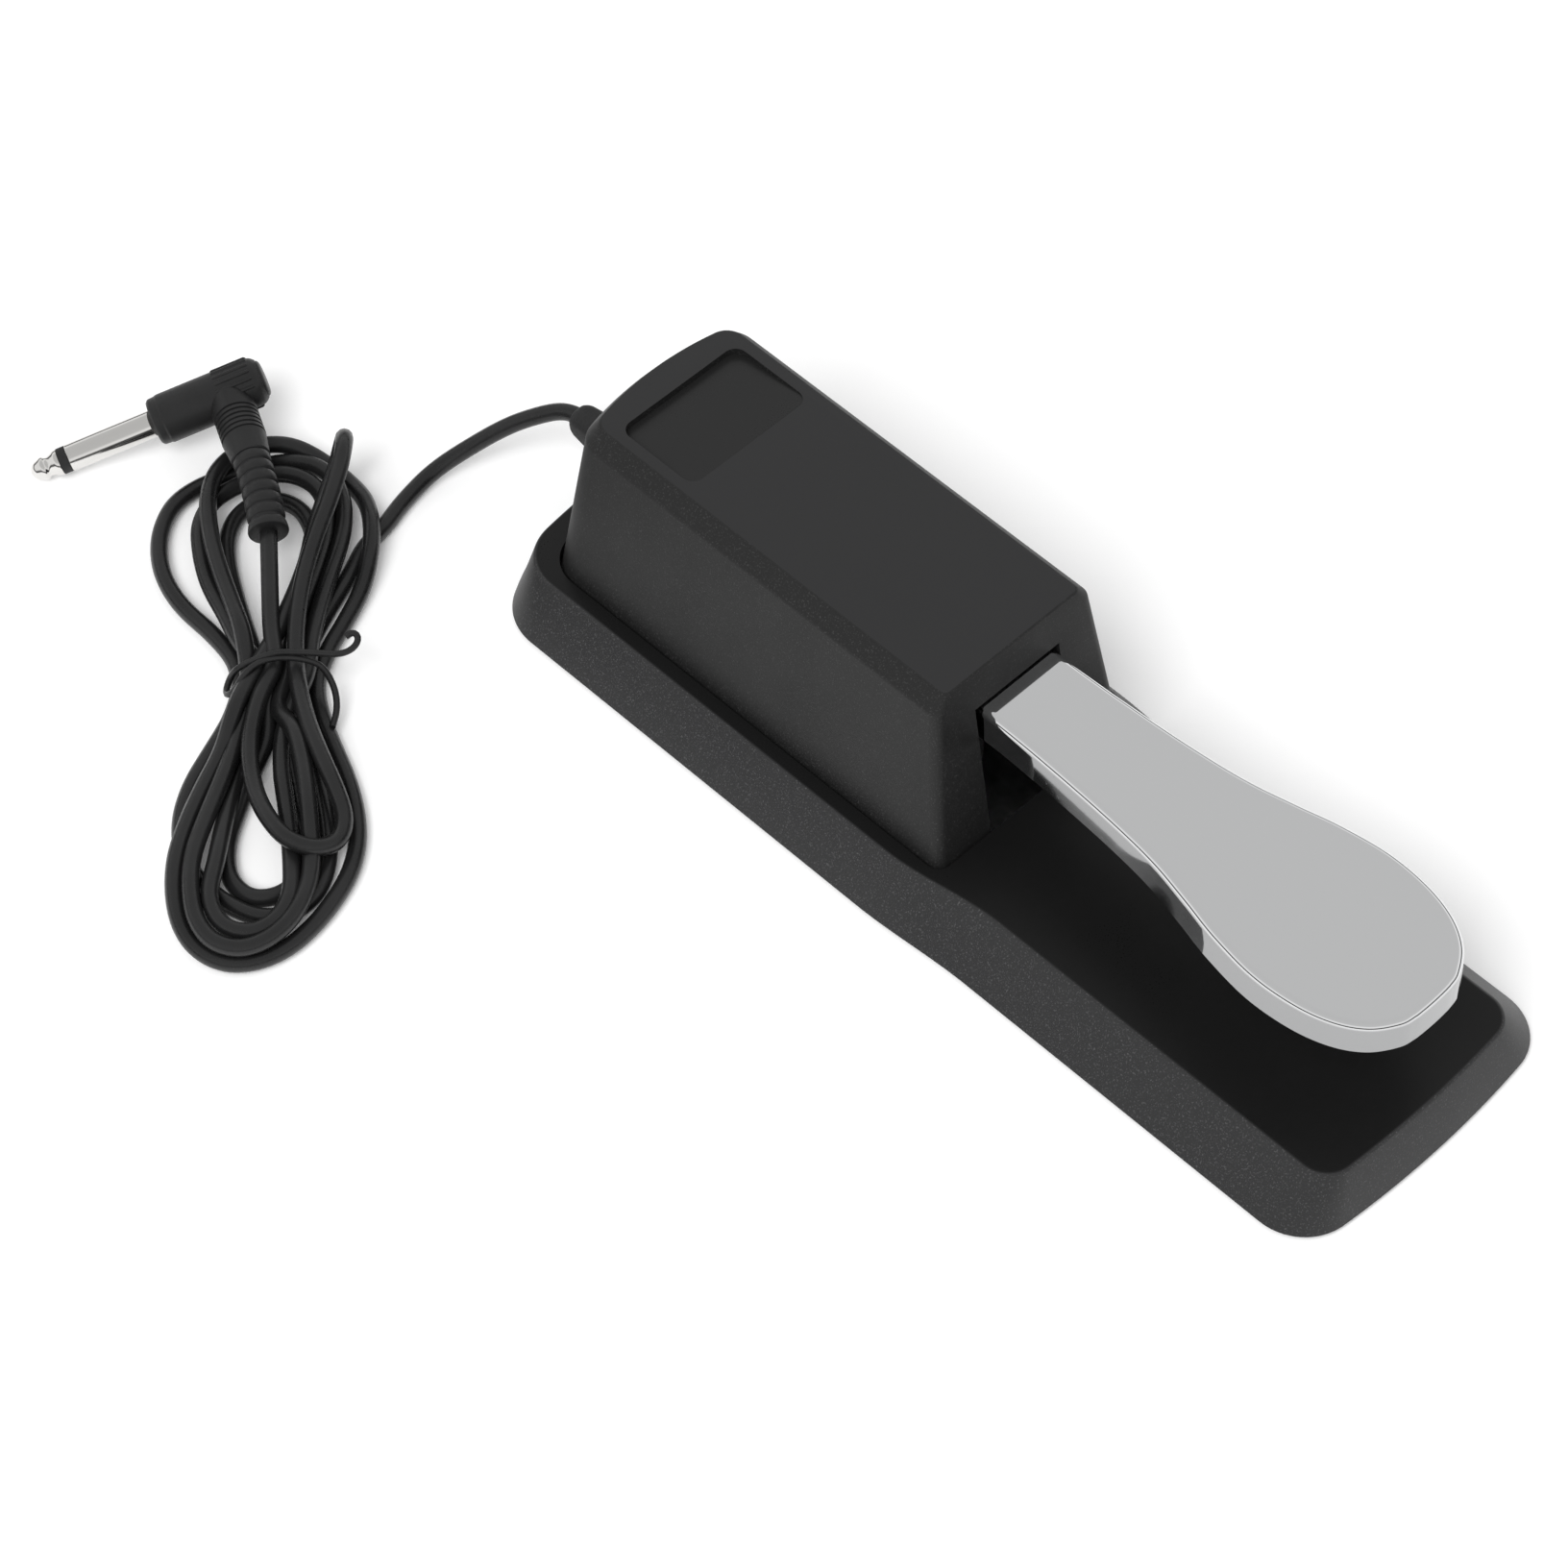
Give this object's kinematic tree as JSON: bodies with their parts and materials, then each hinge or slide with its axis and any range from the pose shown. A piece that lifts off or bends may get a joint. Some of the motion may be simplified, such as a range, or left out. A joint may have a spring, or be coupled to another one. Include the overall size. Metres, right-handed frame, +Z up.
{
  "type": "sustain pedal",
  "caption": "Piano-style sustain pedal: chrome paddle hinged in a black housing on a wide weighted base, with a hanked cord and a right-angle quarter-inch jack plug.",
  "frame": {"origin": "on the floor, under the middle of the base", "axes": "+Z up, -Y towards the toe of the pedal, +Y towards the cord's exit, +X to the right of a player whose foot points along +Y"},
  "size_m": [0.1929, 0.3424, 0.0571],
  "materials": {
    "base_plastic": "satin black moulded plastic with a fine spark grain on its flared sides",
    "housing_plastic": "satin black moulded plastic, a little lighter on the chamfers",
    "chrome": "polished chrome plate",
    "zinc_steel": "bright zinc plate",
    "rubber": "matte black",
    "nylon": "dark satin nylon",
    "brass": "machined brass",
    "board": "green solder resist",
    "cord_vinyl": "satin black flexible vinyl",
    "nickel": "polished nickel plate"
  },
  "bodies": {
    "base": {"ballast_weight": "zinc_steel", "base_screw_front_left": "zinc_steel", "base_screw_front_right": "zinc_steel", "base_screw_rear_left": "zinc_steel", "base_screw_rear_right": "zinc_steel", "base_shell": "base_plastic", "board_post_left": "brass", "board_post_right": "brass", "board_screw_left": "zinc_steel", "board_screw_right": "zinc_steel", "bottom_plate": "zinc_steel", "bracket_screw_left": "zinc_steel", "bracket_screw_right": "zinc_steel", "bumper_pillar": "nylon", "circuit_board": "board", "cord_clamp": "nylon", "cord_hank": "cord_vinyl", "cord_lead": "cord_vinyl", "cord_plug_lead": "cord_vinyl", "cord_tail": "cord_vinyl", "foot_front_left": "rubber", "foot_front_right": "rubber", "foot_rear_left": "rubber", "foot_rear_right": "rubber", "housing_cover": "housing_plastic", "housing_screw_front_left": "zinc_steel", "housing_screw_front_right": "zinc_steel", "housing_screw_rear_left": "zinc_steel", "housing_screw_rear_right": "zinc_steel", "lead_wire_left": "cord_vinyl", "lead_wire_right": "cord_vinyl", "lower_stop_pad": "rubber", "pivot_bracket": "zinc_steel", "pivot_shaft": "zinc_steel", "pivot_washer_left": "nylon", "pivot_washer_right": "nylon", "plug_body": "rubber", "plug_boot": "rubber", "plug_cap": "rubber", "plug_insulator": "rubber", "plug_sleeve": "nickel", "plug_tip": "nickel", "return_spring": "zinc_steel", "shaft_clip_left": "zinc_steel", "shaft_clip_right": "zinc_steel", "spring_seat": "nylon", "strain_relief": "rubber", "switch_body": "nylon", "twist_tie": "cord_vinyl", "upper_stop_pad": "rubber"},
    "pedal": {"pedal_plate": "chrome", "lever_arm": "nylon", "lever_screw_front": "zinc_steel", "lever_screw_rear": "zinc_steel", "pivot_bush_left": "brass", "pivot_bush_right": "brass"},
    "plunger": {"switch_plunger": "nylon"}
  },
  "joints": [
    {"name": "pedal_hinge", "type": "hinge", "parent": "base", "child": "pedal", "pos_m": [0, 0.082, 0.034], "axis": [1, 0, 0], "range_deg": [0, 5.5], "stiffness_Nm_per_rad": 5, "springref_deg": -9.17, "deforming": ["return_spring"]},
    {"name": "plunger_slide", "type": "slide", "parent": "base", "child": "plunger", "axis": [0, 0, 1], "range_m": [-0.0023, 0]}
  ],
  "couplings": [
    {"joint": "plunger_slide", "follows": "pedal_hinge", "m_per_rad": -0.022}
  ]
}
